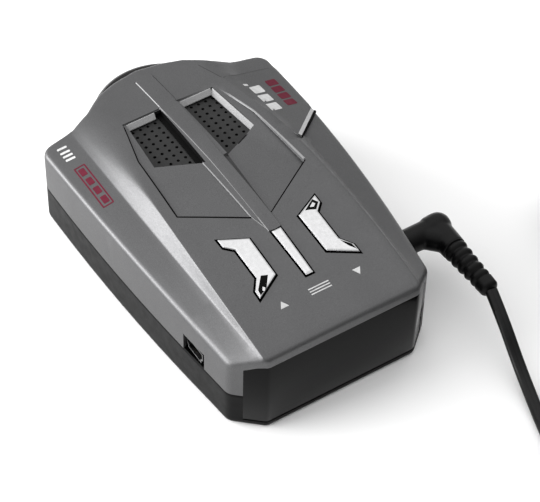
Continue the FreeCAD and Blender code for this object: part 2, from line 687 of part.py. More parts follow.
def car_plug():
    """Accessory-socket plug; drawn along +X, then laid beside the coil."""
    r = CAR_PLUG_R
    zero = Vector(0, 0, 0)
    along = Vector(1, 0, 0)

    def lathe(profile):
        return turned([(x, 0.0, radius) for x, radius in profile], zero, along)

    pieces = {}
    pieces["car_plug_relief"] = relief(zero, along, 15.9, (2.4, 3.6), 5)
    body = lathe([(16, 0), (16, 6.0), (19, 9.0), (24, r), (40, r), (42, 10.0), (74, 10.0), (74, 0)])
    body = body.cut(lathe([(40, 0), (40, 3.6), (80, 3.6), (80, 0)]))
    for side in (-1, 1):
        slot = box((48.0, 64.0), (min(side * 7.0, side * 12.0), max(side * 7.0, side * 12.0)), (-2.2, 2.2))
        body = body.cut(slot)
    pieces["car_plug_body"] = body.cut(box((25.0, 31.0), (-2.0, 2.0), (9.2, 12.0)))
    pieces["car_plug_cap"] = lathe([(74.05, 5.0), (74.05, 9.4), (80.0, 7.6), (81.0, 6.6), (81.0, 5.0)])
    pieces["car_plug_fuse"] = lathe([(46.0, 0), (46.0, 3.0), (66.0, 3.0), (66.0, 0)])
    pieces["car_plug_spring"] = lathe([(40.1, 1.8), (40.1, 2.8), (43.4, 2.8), (43.4, 1.8)])
    pieces["car_plug_light"] = box((25.2, 30.8), (-1.8, 1.8), (9.25, 10.35))
    pieces["car_plug_tip"] = lathe([(66.0, 0), (66.0, 3.3), (79.5, 3.3), (79.5, 4.4), (84.0, 4.4), (86.5, 2.6),
                                    (87.0, 0)])
    wings = []
    for side in (-1, 1):
        profile = [(48.3, 7.3), (48.3, 8.1), (52.0, 10.7), (60.0, 10.7), (63.7, 8.1), (63.7, 7.3),
                   (63.0, 7.3), (59.6, 9.9), (52.4, 9.9), (49.0, 7.3)]
        wire = Part.makePolygon([Vector(x, side * y, -1.9) for x, y in profile + profile[:1]])
        wings.append(Part.Face(wire).extrude(Vector(0, 0, 3.8)))
    pieces["car_plug_side_contacts"] = Part.Compound(wings)
    for name, shape in pieces.items():
        shape.rotate(zero, Vector(0, 0, 1), CAR_PLUG_TURN)
        shape.translate(Vector(*CAR_PLUG_AT))
        save(name, shape)


def main():
    bottom_shell()
    top_shell()
    front_window()
    antenna_lens()
    grilles()
    buttons()
    key_board()
    main_board()
    board_parts()
    aerial()
    speaker()
    display()
    usb_socket()
    dc_jack()
    case_screws()
    dc_plug()
    dc_plug_relief()
    lead()
    car_plug()


main()
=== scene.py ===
"""Looks of the dashboard radar detector and its power lead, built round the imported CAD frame.

Shapes are worked out in millimetres, in the CAD frame, and scaled to metres as each mesh is made.
"""
import json
import math

import bmesh
import bpy
from mathutils import Matrix, Vector
from mathutils.geometry import delaunay_2d_cdt


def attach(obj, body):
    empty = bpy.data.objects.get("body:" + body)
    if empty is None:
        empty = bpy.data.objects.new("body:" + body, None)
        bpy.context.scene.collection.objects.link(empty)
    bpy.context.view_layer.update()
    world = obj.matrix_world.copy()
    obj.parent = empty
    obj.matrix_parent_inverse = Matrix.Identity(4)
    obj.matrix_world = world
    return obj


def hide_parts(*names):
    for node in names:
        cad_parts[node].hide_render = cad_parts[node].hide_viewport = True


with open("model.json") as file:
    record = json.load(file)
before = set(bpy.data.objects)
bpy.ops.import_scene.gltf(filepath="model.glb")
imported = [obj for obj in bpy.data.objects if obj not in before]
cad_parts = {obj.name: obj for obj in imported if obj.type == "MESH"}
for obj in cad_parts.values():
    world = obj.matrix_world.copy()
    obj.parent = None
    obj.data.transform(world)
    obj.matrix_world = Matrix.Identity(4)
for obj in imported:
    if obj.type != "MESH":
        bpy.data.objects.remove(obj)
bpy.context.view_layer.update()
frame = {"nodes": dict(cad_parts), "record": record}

MM = 0.001

# ---------------------------------------------------------------- driving dimensions, mm
CASE_LENGTH = 108.0
CASE_WIDTH = 70.0
CASE_HEIGHT = 32.0
SEAM_Z = 12.0
FRONT_Y = -CASE_LENGTH / 2
BACK_Y = 49.9
FRONT_HALF = 22.5
CORNER_FRONT = (30.1, -47.3)
CORNER_BACK = (35.0, 39.7)
SIDE_RADIUS = 635.0
CROWN_Y = -3.0
CROWN_RADIUS = 300.0
MIDDLE_Y = -7.0
STATION_STEP = 47.0
HUMP_HALF = (18.5, 22.6, 23.1)
HUMP_Z = (28.6, 31.6, 27.4)
WING_HALF = (25.6, 25.6, 23.3)
WING_Z = (25.6, 28.1, 27.2)
EDGE_Z = (24.0, 25.7, 22.6)
WING_SOFT = 0.25              # half width of the rounding between wing and slope
EDGE_ROUND = 1.2              # rounding where the roof turns into the side
EDGE_RINGS = (0.0, 0.12, 0.36, 0.7, EDGE_ROUND)     # insets of the rings that make it
ROOF = 2.2                    # how far the grilles lie below the roof
UPPER_WALL = 0.9
LOWER_WALL = 1.2
ROOF_GRID = 1.5               # spacing of the roof's mesh
ON_LINE = 1e-3                # a point this close to a line counts as on it
WINDOW_HALF = 27.2
WINDOW_Z = (2.3, 24.5)
WINDOW_THICK = 2.0
WINDOW_BAND = 2.4             # least height of the silver band above the window
FRONT_ZONE_Y = -40.0          # the window lies in front of this
SIDE_ZONE_X = 20.0            # the sockets lie outside this
LIP_Z = 2.2                   # top of the lower shell's lip under the window

SPINE_HALF = (2.5, 1.8)       # at the back, and beside the panels
SPINE_PROUD = 0.22
SPINE_EDGE = 0.15             # plan width of its bevelled edge
SPINE_FRONT_Y = -21.3
PANEL_TOP = [(2.15, 31.8), (14.3, 31.8), (17.95, 17.0), (19.5, -5.2), (1.95, -16.3), (1.95, 7.0)]
LEFT_PANEL = [(-3.1, -15.4), (-19.3, -5.2), (-17.8, 17.0), (-14.2, 31.7), (-2.85, 31.7), (-3.9, 6.8)]
LEFT_PANEL_DEPTH = 0.3
PANEL_FLOOR = [(3.0, 31.5), (14.0, 31.5), (17.6, 17.0), (19.1, -5.4), (2.05, -15.8), (3.6, 6.6)]
PANEL_LEVEL = [(2.5, 31.5, 29.6), (14.0, 31.5, 29.7), (17.6, 17.0, 30.55), (19.2, -5.3, 30.45),
               (1.9, -16.0, 31.6)]
GRILLE = [(2.8, 31.3), (13.4, 31.3), (15.3, 13.1), (3.2, 7.2)]
PAD = [(17.7, 33.1), (34.6, 33.2), (35.2, 14.9), (22.9, 3.5)]
PAD_STEP = 0.9                # plan width of the slanted face along the pad's front edge

ARROW = [(6.9, -20.6), (15.2, -16.4), (15.1, -20.2), (12.9, -22.4),
         (12.9, -31.9), (15.3, -35.2), (15.4, -38.8), (7.1, -34.0)]
MENU = [(-1.85, -21.4), (1.85, -21.4), (1.5, -38.0), (-1.5, -38.0)]
BUTTON_PROUD = 0.6

USB_Y = -33.3
USB_HALF = 4.3
USB_TOP = 17.8
JACK_Y = -31.05
JACK_HALF = 3.25
JACK_TOP = 17.4
JACK_FOOT = 10.95

PLUG_FACE_X = 32.4
PLUG_R = 3.6
PLUG_Z = 14.15
ELBOW_X = 44.6
RELIEF_Y = (-39.0, -56.0)

CORD = 3.4
LEAD_ROUTE = [(44.6, -55.9, 14.1), (43.0, -63.6, 11.6), (41.6, -73.4, 4.6),
              (39.2, -83.2, 1.9), (36.2, -92.4, 1.8), (33.9, -101.5, 1.8)]
COIL_CENTRE = (53.5, -108.0)
COIL_RADII = (20.4, 17.0, 13.6)
COIL_LAYERS = 5
COIL_START = 180.0            # degrees
COIL_SWEEP = 12 * 360.0 + 90.0
COIL_STEPS = 16               # route points to a turn
COIL_BASE = 1.8
TAIL_ROUTE = [(62.4, -128.9, 15.1), (70.4, -128.6, 13.9), (78.0, -127.6, 12.3),
              (84.2, -125.0, 11.1), (88.0, -119.6, 10.6), (89.0, -113.0, 10.7)]

# ---------------------------------------------------------------- camera
CAMERA_PIVOT = (0.0, 0.0, 12.0)
CAMERA_AZIMUTH = -33.501
CAMERA_ELEVATION = 49.576
CAMERA_ROLL = 1.514
CAMERA_OFFSET = (-10.46, 6.945, 615.726)
CAMERA_LENS = 154.73


def make_camera():
    azimuth = math.radians(CAMERA_AZIMUTH)
    elevation = math.radians(CAMERA_ELEVATION)
    roll = math.radians(CAMERA_ROLL)
    look = Vector((-math.sin(azimuth) * math.cos(elevation),
                   math.cos(azimuth) * math.cos(elevation), -math.sin(elevation)))
    level = Vector((math.cos(azimuth), math.sin(azimuth), 0.0))
    upright = level.cross(look)
    side = level * math.cos(roll) + upright * math.sin(roll)
    top = upright * math.cos(roll) - level * math.sin(roll)
    across, up, away = CAMERA_OFFSET
    place = (Vector(CAMERA_PIVOT) - side * across - top * up - look * away) * MM
    camera = bpy.data.objects.new("camera", bpy.data.cameras.new("camera"))
    camera.data.lens = CAMERA_LENS
    camera.data.sensor_width = 36.0
    camera.data.clip_start = 0.01
    bpy.context.scene.collection.objects.link(camera)
    camera.matrix_world = Matrix.Translation(place) @ Matrix((side, top, -look)).transposed().to_4x4()
    bpy.context.scene.camera = camera


# ---------------------------------------------------------------- materials
class Finish:
    """A node tree with short calls for the parts that every finish uses."""

    def __init__(self, name):
        self.material = bpy.data.materials.new(name)
        self.material.use_nodes = True
        self.nodes = self.material.node_tree.nodes
        self.links = self.material.node_tree.links
        self.shader = self.nodes["Principled BSDF"]
        coordinates = self.nodes.new("ShaderNodeTexCoord")
        self.place = coordinates.outputs["Object"]

    def set(self, **values):
        for key, value in values.items():
            self.shader.inputs[key.replace("_", " ")].default_value = value
        return self

    def noise(self, size_mm, detail=2.0, stretch=(1, 1, 1)):
        """Noise whose grain is about size_mm across."""
        mapping = self.nodes.new("ShaderNodeMapping")
        mapping.inputs["Scale"].default_value = stretch
        self.links.new(self.place, mapping.inputs["Vector"])
        node = self.nodes.new("ShaderNodeTexNoise")
        node.inputs["Scale"].default_value = 1.0 / (size_mm * MM)
        node.inputs["Detail"].default_value = detail
        self.links.new(mapping.outputs["Vector"], node.inputs["Vector"])
        return node.outputs["Fac"]

    def ramp(self, source, low, high, start=0.3, end=0.7):
        node = self.nodes.new("ShaderNodeValToRGB")
        node.color_ramp.elements[0].position = start
        node.color_ramp.elements[1].position = end
        node.color_ramp.elements[0].color = (*low, 1) if hasattr(low, "__len__") else (low, low, low, 1)
        node.color_ramp.elements[1].color = (*high, 1) if hasattr(high, "__len__") else (high, high, high, 1)
        self.links.new(source, node.inputs["Fac"])
        return node.outputs["Color"]

    def multiply(self, a, b):
        node = self.nodes.new("ShaderNodeMix")
        node.data_type = "RGBA"
        node.blend_type = "MULTIPLY"
        node.inputs[0].default_value = 1.0
        self.links.new(a, node.inputs[6])
        self.links.new(b, node.inputs[7])
        return node.outputs[2]

    def colour(self, source):
        self.links.new(source, self.shader.inputs["Base Color"])
        return self

    def roughness(self, source, low, high):
        self.links.new(self.ramp(source, low, high), self.shader.inputs["Roughness"])
        return self

    def bump(self, source, depth_mm, strength=1.0):
        node = self.nodes.new("ShaderNodeBump")
        node.inputs["Distance"].default_value = depth_mm * MM
        node.inputs["Strength"].default_value = strength
        self.links.new(source, node.inputs["Height"])
        self.links.new(node.outputs["Normal"], self.shader.inputs["Normal"])
        return self


def shade(colour, factor):
    return tuple(min(channel * factor, 1.0) for channel in colour)


def paint(name, colour, metallic, rough):
    """Metallic lacquer with fine flake."""
    finish = Finish(name).set(Metallic=metallic)
    flake = finish.ramp(finish.noise(0.16, 1.0), shade(colour, 0.8), shade(colour, 1.22), 0.25, 0.75)
    cloud = finish.ramp(finish.noise(9.0, 3.0), 0.94, 1.0)
    finish.colour(finish.multiply(flake, cloud))
    finish.roughness(finish.noise(0.3, 2.0), rough - 0.05, rough + 0.06)
    finish.bump(finish.noise(0.2, 1.0), 0.004)
    return finish.material


def plastic(name, colour, rough, grain_mm=0.25, depth_mm=0.01, specular=0.5):
    """Moulded plastic with a fine texture and slight mottling."""
    finish = Finish(name).set(Specular_IOR_Level=specular)
    finish.colour(finish.ramp(finish.noise(1.2, 4.0), shade(colour, 0.85), shade(colour, 1.15)))
    finish.roughness(finish.noise(2.5, 3.0), max(rough - 0.05, 0.02), rough + 0.05)
    finish.bump(finish.noise(grain_mm, 2.0), depth_mm)
    return finish.material


def metal(name, colour, rough, stretch=(1, 1, 1)):
    """Plated or brushed metal with faint streaks."""
    finish = Finish(name).set(Metallic=1.0)
    finish.colour(finish.ramp(finish.noise(0.8, 4.0, stretch), shade(colour, 0.92), shade(colour, 1.04)))
    finish.roughness(finish.noise(1.5, 3.0, stretch), max(rough - 0.03, 0.02), rough + 0.04)
    finish.bump(finish.noise(0.6, 2.0, stretch), 0.002)
    return finish.material


def board(name, colour):
    """Circuit board: solder mask over a faint grid of tracks."""
    finish = Finish(name)
    tracks = finish.nodes.new("ShaderNodeTexBrick")
    tracks.inputs["Scale"].default_value = 350.0
    tracks.inputs["Color1"].default_value = (*colour, 1)
    tracks.inputs["Color2"].default_value = (*shade(colour, 1.5), 1)
    tracks.inputs["Mortar"].default_value = (*shade(colour, 0.6), 1)
    finish.links.new(finish.place, tracks.inputs["Vector"])
    finish.colour(tracks.outputs["Color"])
    finish.roughness(finish.noise(1.0, 2.0), 0.3, 0.42)
    finish.bump(tracks.outputs["Fac"], 0.02)
    return finish.material


def clear(name, colour):
    finish = Finish(name).set(Transmission_Weight=0.9, IOR=1.5)
    finish.colour(finish.ramp(finish.noise(2.0, 2.0), shade(colour, 0.95), colour))
    finish.roughness(finish.noise(1.5, 2.0), 0.03, 0.08)
    finish.bump(finish.noise(1.0, 2.0), 0.003)
    return finish.material


def make_materials():
    made = {
        "silver_paint": paint("silver_paint", (0.095, 0.095, 0.097), 0.8, 0.44),
        "black_case": plastic("black_case", (0.004, 0.004, 0.0041), 0.42, specular=0.07),
        "window_black": plastic("window_black", (0.002, 0.002, 0.0021), 0.12, 2.0, 0.002, 0.09),
        "lens_dark": plastic("lens_dark", (0.004, 0.0038, 0.0038), 0.14, 2.0, 0.002, 0.18),
        "grille_grey": plastic("grille_grey", (0.015, 0.015, 0.0152), 0.5, specular=0.25),
        "chrome_plate": metal("chrome_plate", (0.53, 0.53, 0.535), 0.12),
        "board_green": board("board_green", (0.012, 0.09, 0.035)),
        "chip_black": plastic("chip_black", (0.02, 0.02, 0.021), 0.5, 0.15),
        "steel": metal("steel", (0.12, 0.12, 0.122), 0.28, (1, 6, 1)),
        "brass": metal("brass", (0.78, 0.58, 0.27), 0.25),
        "cast_metal": metal("cast_metal", (0.6, 0.6, 0.61), 0.4),
        "ferrite": plastic("ferrite", (0.03, 0.03, 0.032), 0.6, 0.1, 0.02),
        "cone_paper": plastic("cone_paper", (0.03, 0.03, 0.03), 0.85, 0.4, 0.05),
        "switch_black": plastic("switch_black", (0.02, 0.02, 0.022), 0.4),
        "plug_black": plastic("plug_black", (0.0025, 0.0025, 0.0026), 0.32, 0.4, 0.012, 0.14),
        "cord_black": plastic("cord_black", (0.004, 0.004, 0.0041), 0.32, 0.8, 0.01, 0.2),
        "plug_rubber": plastic("plug_rubber", (0.0025, 0.0025, 0.0026), 0.4, 0.4, 0.015, 0.14),
        "fuse_glass": clear("fuse_glass", (0.9, 0.95, 0.95)),
        "lamp_red": plastic("lamp_red", (0.35, 0.02, 0.015), 0.2, 1.0, 0.004),
        "can_sleeve": plastic("can_sleeve", (0.03, 0.04, 0.1), 0.3, 1.0, 0.004),
    }
    # Lighter and darker copies of the silver paint: painted highlights along bevels and steps, painted shade on
    # faces turned from the light.
    made["painted_highlight_silver"] = paint("painted_highlight_silver", (0.46, 0.46, 0.464), 0.15, 0.5)
    made["painted_soft_highlight"] = paint("painted_soft_highlight", (0.27, 0.27, 0.272), 0.3, 0.5)
    made["painted_shade_silver"] = paint("painted_shade_silver", (0.17, 0.17, 0.172), 0.15, 0.5)
    # Painted shade along the creases at the back of the pad.
    made["painted_crease_shade"] = paint("painted_crease_shade", (0.045, 0.045, 0.046), 0.8, 0.5)
    made["mark_white"] = plastic("mark_white", (0.5, 0.5, 0.5), 0.5, 0.3, 0.003)
    made["mark_red"] = plastic("mark_red", (0.1, 0.008, 0.021), 0.6, 0.3, 0.003, 0.15)
    # Painted shade in black for grooves, gaps and the channel beside the left grille, and painted dark
    # reflections on the button caps.
    made["painted_shade_black"] = plastic("painted_shade_black", (0.002, 0.002, 0.002), 0.7, specular=0.05)
    return made


# ---------------------------------------------------------------- mesh helpers
def piece(name, verts, faces, body, slot, replaces=(), sharp=30.0, material=None):
    """Mesh object from points in millimetres, riding on a body."""
    mesh = bpy.data.meshes.new(name)
    mesh.from_pydata([Vector(v) * MM for v in verts], [], faces)
    mesh.validate()
    return adopt(name, mesh, body, slot, replaces, sharp, material)


def adopt(name, mesh, body, slot, replaces=(), sharp=30.0, material=None):
    shaper = bmesh.new()
    shaper.from_mesh(mesh)
    bmesh.ops.recalc_face_normals(shaper, faces=shaper.faces)
    shaper.to_mesh(mesh)
    shaper.free()
    mesh.shade_smooth()
    mesh.set_sharp_from_angle(angle=math.radians(sharp))
    mesh.materials.clear()
    mesh.materials.append(MATERIALS[material or slot])
    thing = bpy.data.objects.new(name, mesh)
    bpy.context.scene.collection.objects.link(thing)
    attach(thing, body)
    if replaces:
        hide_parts(*replaces)
    return thing


def apply_modifiers(thing, sharp=None):
    """Swap the mesh for the one its modifiers make, and mark its sharp edges again."""
    graph = bpy.context.evaluated_depsgraph_get()
    mesh = bpy.data.meshes.new_from_object(thing.evaluated_get(graph))
    thing.modifiers.clear()
    thing.data = mesh
    if sharp:
        mesh.set_sharp_from_angle(angle=math.radians(sharp))
    return thing


def offset(loop, distances):
    """Closed polygon with each side moved outwards by its own distance."""
    count = len(loop)
    turning = sum(loop[i - 1][0] * loop[i][1] - loop[i][0] * loop[i - 1][1] for i in range(count))
    outwards = 1.0 if turning > 0 else -1.0
    if not hasattr(distances, "__len__"):
        distances = [distances] * count
    lines = []
    for i in range(count):
        a, b = Vector(loop[i]), Vector(loop[(i + 1) % count])
        along = (b - a).normalized()
        out = Vector((along.y, -along.x)) * outwards
        lines.append((a + out * distances[i], along))
    moved = []
    for i in range(count):
        (p, u), (q, v) = lines[i - 1], lines[i]
        cross = u.x * v.y - u.y * v.x
        if abs(cross) < 1e-4:
            moved.append((q.x, q.y))
        else:
            t = ((q.x - p.x) * v.y - (q.y - p.y) * v.x) / cross
            moved.append((p.x + u.x * t, p.y + u.y * t))
    return moved


def mirrored(loop):
    """The closed polygon on the other side of the middle."""
    return [(-p[0], *p[1:]) for p in reversed(loop)]


def inside(point, loop):
    x, y = point
    hit = False
    for i, (x1, y1) in enumerate(loop):
        x0, y0 = loop[i - 1]
        if (y1 > y) != (y0 > y) and x < (x0 - x1) * (y - y1) / (y0 - y1) + x1:
            hit = not hit
    return hit


def gap(point, loop):
    """Distance from a point to a closed polygon's sides."""
    best = 1e9
    p = Vector(point)
    for i in range(len(loop)):
        a, b = Vector(loop[i - 1]), Vector(loop[i])
        side = b - a
        t = max(0.0, min(1.0, (p - a).dot(side) / max(side.length_squared, 1e-12)))
        best = min(best, (p - a - side * t).length)
    return best


def on_or_inside(point, loop):
    return inside(point, loop) or gap(point, loop) < ON_LINE


def rounded(corners, step=12.0):
    """Closed polygon with an arc at each (x, y, radius) corner."""
    points = []
    count = len(corners)
    for i in range(count):
        x, y, radius = corners[i]
        here = Vector((x, y))
        back = (Vector(corners[i - 1][:2]) - here).normalized()
        ahead = (Vector(corners[(i + 1) % count][:2]) - here).normalized()
        half = math.acos(max(-1.0, min(1.0, back.dot(ahead)))) / 2
        if radius <= 0 or half > math.radians(89.5):
            points.append((x, y))
            continue
        middle = here + (back + ahead).normalized() * radius / math.sin(half)
        start = here + back * radius / math.tan(half) - middle
        end = here + ahead * radius / math.tan(half) - middle
        sweep = start.angle_signed(end)
        pieces = max(2, math.ceil(abs(math.degrees(sweep)) / step))
        for k in range(pieces + 1):
            turn = Matrix.Rotation(-sweep * k / pieces, 2)
            spot = middle + turn @ start
            points.append((spot.x, spot.y))
    return points


def evenly(loop, step):
    """The same closed polygon with long sides divided."""
    points = []
    for i in range(len(loop)):
        a, b = Vector(loop[i]), Vector(loop[(i + 1) % len(loop)])
        pieces = max(1, math.ceil((b - a).length / step))
        for k in range(pieces):
            spot = a.lerp(b, k / pieces)
            points.append((spot.x, spot.y))
    return points


def frames(path):
    """Point, tangent, sideways and upward direction along a path; sideways stays level."""
    result = []
    last_side = Vector((1, 0, 0))
    for i, here in enumerate(path):
        before = path[max(i - 1, 0)]
        after = path[min(i + 1, len(path) - 1)]
        tangent = (after - before).normalized()
        side = tangent.cross(Vector((0, 0, 1)))
        side = side.normalized() if side.length > 0.05 else last_side
        last_side = side
        result.append((here, tangent, side, side.cross(tangent).normalized()))
    return result


def quads(rows, count, rows_closed=False, around=True):
    """Faces between neighbouring rows of count points each."""
    faces = []
    for i in range(rows if rows_closed else rows - 1):
        for k in range(count if around else count - 1):
            j, m = (i + 1) % rows, (k + 1) % count
            faces.append((i * count + k, i * count + m, j * count + m, j * count + k))
    return faces


def sweep(path, profiles):
    """Closed tube: one profile, a list of (across, up), at each path point."""
    verts, count = [], len(profiles[0])
    for (here, _, side, up), profile in zip(frames(path), profiles):
        for across, height in profile:
            verts.append(here + side * across + up * height)
    faces = quads(len(path), count)
    faces.append(tuple(range(count)))
    faces.append(tuple(range((len(path) - 1) * count, len(path) * count)))
    return verts, faces


def circle(radius, count=28):
    return [(radius * math.cos(2 * math.pi * k / count), radius * math.sin(2 * math.pi * k / count))
            for k in range(count)]


# ---------------------------------------------------------------- case surfaces
def bend(y, values):
    """Value at y from its values at the back, the middle and the front."""
    back, middle, front = values
    s = (y - MIDDLE_Y) / STATION_STEP
    return middle + (back - front) / 2 * s + ((back + front) / 2 - middle) * s * s


def side_half(y):
    return CASE_WIDTH / 2 - (y - 33.0) ** 2 / (2 * SIDE_RADIUS)


def ease(t):
    t = max(0.0, min(1.0, t))
    return t * t * (3 - 2 * t)


def soft_ramp(t, width):
    """max(t, 0) with its corner rounded over plus and minus width."""
    if t <= -width:
        return 0.0
    return t if t >= width else (t + width) ** 2 / (4 * width)


def hump_softness(x, y):
    """Half width of the rounding along the hump's edge; it widens towards the back on the left."""
    return 0.15 + (4.1 * ease((y + 4.0) / 44.0) if x < 0 else 0.3)


def wing_half(y):
    return max(bend(y, WING_HALF), bend(y, HUMP_HALF) + 0.3)


def roof(x, y):
    """Height of the plain roof, before panels, pad and edge rounding."""
    reach = abs(x)
    hump = bend(y, HUMP_HALF)
    wing = wing_half(y)
    crown = CASE_HEIGHT - (y - CROWN_Y) ** 2 / (2 * CROWN_RADIUS)
    hump_z, wing_z, edge_z = bend(y, HUMP_Z), bend(y, WING_Z), bend(y, EDGE_Z)
    top = (hump_z - crown) / hump
    slope = (wing_z - hump_z) / (wing - hump)
    fall = (edge_z - wing_z) / (side_half(y) - wing)
    z = crown + top * reach
    z += (slope - top) * soft_ramp(reach - hump, hump_softness(x, y))
    return z + (fall - slope) * soft_ramp(reach - wing, WING_SOFT)


def facet(points, triangles, x, y):
    """Height at (x, y) of a faceted patch given by (x, y, z) corners."""
    best, height = -1e9, 0.0
    for a, b, c in triangles:
        (x1, y1, z1), (x2, y2, z2), (x3, y3, z3) = points[a], points[b], points[c]
        area = (x2 - x1) * (y3 - y1) - (x3 - x1) * (y2 - y1)
        u = ((x - x1) * (y3 - y1) - (x3 - x1) * (y - y1)) / area
        v = ((x2 - x1) * (y - y1) - (x - x1) * (y2 - y1)) / area
        closeness = min(u, v, 1 - u - v)
        if closeness > best:
            best, height = closeness, z1 + u * (z2 - z1) + v * (z3 - z1)
    return height


def pad_corners():
    """Corners of the pad top: on the roof inboard, just above the case edge outboard."""
    corners = []
    for x, y in PAD:
        on_hump = x < bend(y, HUMP_HALF) + 1.0
        corners.append((x, y, roof(x - 0.4, y) if on_hump else bend(y, EDGE_Z) + 0.35))
    return corners


PAD_LEVEL = pad_corners()


def pad_height(x, y):
    return facet(PAD_LEVEL, [(0, 1, 2), (0, 2, 3)], x, y)


def pad_top(x, y):
    """Height of whatever is on top, pad or roof."""
    return max(roof(x, y), pad_height(x, y)) if inside((x, y), PAD) else roof(x, y)


def spine_half(y):
    return SPINE_HALF[1] + (SPINE_HALF[0] - SPINE_HALF[1]) * ease((y - 8.0) / 24.0)


def outline():
    """Plan of the case, counter-clockwise, with its corners rounded."""
    side = [(side_half(y), y, 0.0) for y in range(-40, 36, 8)]
    right = [(FRONT_HALF, FRONT_Y, 2.2), (*CORNER_FRONT, 3.6), *side, (*CORNER_BACK, 3.6),
             (24.5, 40.6, 2.0), (19.0, 42.5, 1.5), (13.2, 46.7, 3.0), (7.2, 48.9, 12.0), (0.0, BACK_Y, 20.0)]
    left = [(-x, y, radius) for x, y, radius in reversed(right[:-1])]
    return with_cuts(evenly(rounded(right + left, 10.0), 2.5))


def with_cuts(loop):
    """Add a point wherever an opening of the side wall starts or ends."""
    cuts = [(0, WINDOW_HALF, FRONT_ZONE_Y), (0, -WINDOW_HALF, FRONT_ZONE_Y)]
    for y in (USB_Y - USB_HALF, USB_Y + USB_HALF):
        cuts.append((1, y, -SIDE_ZONE_X))
    for y in (JACK_Y - JACK_HALF, JACK_Y + JACK_HALF):
        cuts.append((1, y, SIDE_ZONE_X))
    points = []
    for i in range(len(loop)):
        a, b = Vector(loop[i]), Vector(loop[(i + 1) % len(loop)])
        points.append((a.x, a.y))
        for axis, value, limit in cuts:
            crosses = (a[axis] - value) * (b[axis] - value) < 0
            if axis == 0:
                here = max(a.y, b.y) < limit
            else:
                here = min(a.x, b.x) > limit if limit > 0 else max(a.x, b.x) < limit
            if crosses and here:
                spot = a.lerp(b, (value - a[axis]) / (b[axis] - a[axis]))
                points.append((spot.x, spot.y))
    return points


def grid(step, low, high):
    """Even values from low to high, about a step apart."""
    count = int(round((high - low) / step))
    return [low + (high - low) * k / count for k in range(count + 1)]


def panel_floor(x, y):
    """Height of the sunk panels: the right one dips towards its outer front corner."""
    if x < 0:
        return roof(x, y) - LEFT_PANEL_DEPTH
    return min(facet(PANEL_LEVEL, [(0, 1, 2), (0, 2, 3), (0, 3, 4)], x, y), roof(x, y) - 0.04)


def surface_height(x, y, edge_gap, on_floor):
    """Height of the finished upper surface."""
    if on_floor:
        return panel_floor(x, y)
    z = roof(x, y)
    if x > 0 and on_or_inside((x, y), PAD):
        z = max(z, pad_height(x, y))
    if y > SPINE_FRONT_Y:
        z += SPINE_PROUD * ease((spine_half(y) + SPINE_EDGE - abs(x)) / SPINE_EDGE)
    if edge_gap < EDGE_ROUND:
        z -= EDGE_ROUND - math.sqrt(max(EDGE_ROUND ** 2 - (EDGE_ROUND - edge_gap) ** 2, 0.0))
    return z


class RoofPlan:
    """Plan points of the roof, and the lines that its triangles have to follow."""

    def __init__(self):
        self.spots, self.edges = [], []

    def line(self, points, closed=False):
        first, count = len(self.spots), len(points)
        self.spots.extend(points)
        ends = count if closed else count - 1
        self.edges.extend((first + k, first + (k + 1) % count) for k in range(ends))

    def pad(self, loops, inner):
        """Outlines of the pad, only where they lie on the roof."""
        for loop in loops:
            kept = [p for p in loop if inside(p, inner)]
            start = next(k for k in range(len(loop)) if loop[k] in kept and loop[k - 1] not in kept)
            self.line([p for p in loop[start:] + loop[:start] if p in kept])

    def creases(self):
        """Edges of the spine, and both bends of the roof on each side of it."""
        for side in (-1, 1):
            for reach in (0.0, SPINE_EDGE):
                for rows in (grid(2.0, 32.3, 44.7), grid(1.5, -21.2, -16.8)):
                    self.line([(side * (spine_half(y) + reach), y) for y in rows])
            self.line([(side * spine_half(y), y) for y in grid(2.0, -16.0, 31.0)])
            rows = [y for y in grid(1.5, -52.5, 39.0) if side < 0 or y < 3.0]
            for shift in (-1.0, -0.5, 0.0, 0.5, 1.0):
                self.line([(side * (bend(y, HUMP_HALF) + shift * hump_softness(side, y)), y) for y in rows])
            for shift in (-1.0, 0.0, 1.0):
                apart = [y for y in rows if wing_half(y) - bend(y, HUMP_HALF) > 0.5 - 0.3 * shift]
                self.line([(side * (wing_half(y) + shift * WING_SOFT), y) for y in apart])

    def fill(self, inner, lines, bands):
        """Even points, kept clear of the lines, the bends and the walls of the panels."""
        for x in grid(ROOF_GRID, -34.5, 34.5):
            for y in grid(ROOF_GRID, -52.5, 45.0):
                spot = (x, y)
                if not inside(spot, inner) or any(gap(spot, loop) < 0.6 for loop in lines):
                    continue
                bends = [(spine_half(y), 0.0), (wing_half(y), WING_SOFT),
                         (bend(y, HUMP_HALF), hump_softness(x, y))]
                if any(abs(abs(x) - reach) < soft + 0.5 for reach, soft in bends):
                    continue
                if not any(inside(spot, top) and not inside(spot, floor) for top, floor in bands):
                    self.spots.append(spot)


def roof_mesh(plan, edge, floors, holes):
    """Triangles of the plan, lifted to the finished surface, with the openings left out."""
    points = [Vector(p) for p in plan.spots]
    flat, _, triangles, _, _, _ = delaunay_2d_cdt(points, plan.edges, [], 0, 1e-5)
    shaper = bmesh.new()
    for p in flat:
        spot = (p.x, p.y)
        on_floor = any(on_or_inside(spot, loop) for loop in floors)
        shaper.verts.new((p.x, p.y, surface_height(p.x, p.y, gap(spot, edge), on_floor)))
    shaper.verts.ensure_lookup_table()
    for triangle in triangles:
        middle = sum((Vector(flat[k]) for k in triangle), Vector((0, 0))) / 3
        spot = (middle.x, middle.y)
        if inside(spot, edge) and not any(inside(spot, hole) for hole in holes):
            shaper.faces.new([shaper.verts[k] for k in triangle])
    bmesh.ops.delete(shaper, geom=[v for v in shaper.verts if not v.link_faces], context="VERTS")
    return shaper


